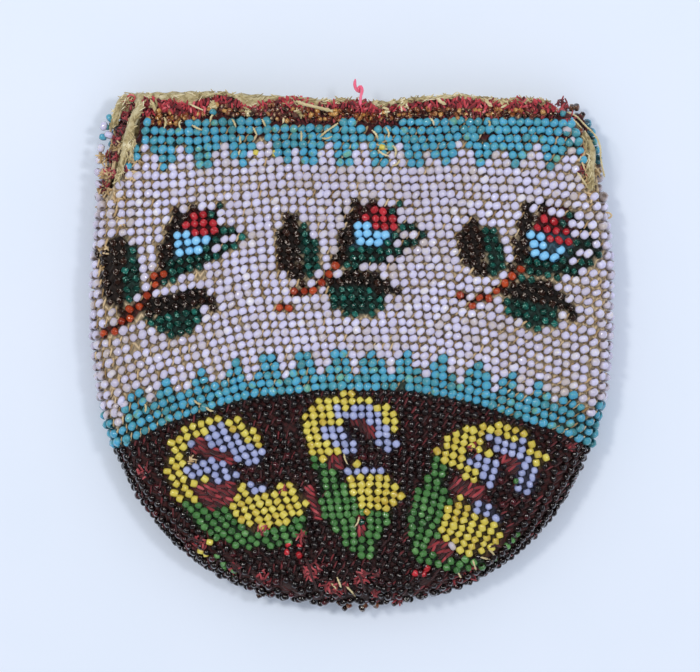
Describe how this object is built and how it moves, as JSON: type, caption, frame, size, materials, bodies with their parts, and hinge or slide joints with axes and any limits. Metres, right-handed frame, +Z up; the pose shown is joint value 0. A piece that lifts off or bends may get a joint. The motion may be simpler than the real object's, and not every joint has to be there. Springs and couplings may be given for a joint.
{
  "type": "beaded medicine bag",
  "caption": "Flat bead-knitted pouch lying on its back: rounded bottom, slit sides, cloth lining and a tape-bound mouth, with bands, rosebud sprigs and scrolls in glass beads.",
  "frame": {"origin": "middle of the footprint, on the surface the pouch lies on", "axes": "+Z up through the front of the pouch, which lies on its back; +Y towards its mouth; +X to the right of someone who looks down on the front"},
  "size_m": [0.128, 0.1264, 0.0131],
  "materials": {
    "crimson_knit": "matt wool or silk knitting, fuzzy at the edges",
    "cream_lining": "matt plain weave, aged",
    "cream_tape": "slightly glossy twill tape, frayed",
    "brown_beads": "glossy, some amber",
    "turquoise_beads": "glossy opaque",
    "white_beads": "glossy, slightly lilac",
    "garnet_beads": "glossy, nearly black",
    "dark_leaf_beads": "glossy",
    "teal_beads": "glossy, see-through in life",
    "red_beads": "glossy, see-through in life",
    "light_blue_beads": "glossy opaque",
    "rust_beads": "glossy",
    "yellow_beads": "glossy opaque",
    "lilac_beads": "glossy, milky",
    "green_beads": "glossy, see-through in life"
  },
  "bodies": {
    "root": {"back_binding_tape": "cream_tape", "back_brown_beads": "brown_beads", "back_garnet_beads": "garnet_beads", "back_lower_turquoise_beads": "turquoise_beads", "back_upper_turquoise_beads": "turquoise_beads", "back_white_beads": "white_beads", "cloth_lining": "cream_lining", "front_binding_tape": "cream_tape", "front_brown_beads": "brown_beads", "front_garnet_beads": "garnet_beads", "front_lower_turquoise_beads": "turquoise_beads", "front_upper_turquoise_beads": "turquoise_beads", "front_white_beads": "white_beads", "knitted_pouch": "crimson_knit", "left_fold_turquoise_beads": "turquoise_beads", "left_fold_white_beads": "white_beads", "left_scroll_arm": "yellow_beads", "left_scroll_foot": "green_beads", "left_scroll_lilac": "lilac_beads", "left_scroll_lobe": "yellow_beads", "left_sprig_bud_blue": "light_blue_beads", "left_sprig_bud_red": "red_beads", "left_sprig_calyx": "teal_beads", "left_sprig_leaf_dark": "dark_leaf_beads", "left_sprig_leaf_teal": "teal_beads", "left_sprig_low_leaf_dark": "dark_leaf_beads", "left_sprig_low_leaf_teal": "teal_beads", "left_sprig_sepal": "dark_leaf_beads", "left_sprig_stem": "rust_beads", "middle_scroll_arm": "yellow_beads", "middle_scroll_foot": "green_beads", "middle_scroll_lilac": "lilac_beads", "middle_scroll_lobe": "yellow_beads", "middle_sprig_bud_blue": "light_blue_beads", "middle_sprig_bud_red": "red_beads", "middle_sprig_calyx": "teal_beads", "middle_sprig_leaf_dark": "dark_leaf_beads", "middle_sprig_leaf_teal": "teal_beads", "middle_sprig_low_leaf_dark": "dark_leaf_beads", "middle_sprig_low_leaf_teal": "teal_beads", "middle_sprig_sepal": "dark_leaf_beads", "middle_sprig_stem": "rust_beads", "right_fold_turquoise_beads": "turquoise_beads", "right_fold_white_beads": "white_beads", "right_scroll_arm": "yellow_beads", "right_scroll_foot": "green_beads", "right_scroll_lilac": "lilac_beads", "right_scroll_lobe": "yellow_beads", "right_sprig_bud_blue": "light_blue_beads", "right_sprig_bud_red": "red_beads", "right_sprig_calyx": "teal_beads", "right_sprig_leaf_dark": "dark_leaf_beads", "right_sprig_leaf_teal": "teal_beads", "right_sprig_low_leaf_dark": "dark_leaf_beads", "right_sprig_low_leaf_teal": "teal_beads", "right_sprig_sepal": "dark_leaf_beads", "right_sprig_stem": "rust_beads"}
  },
  "joints": []
}
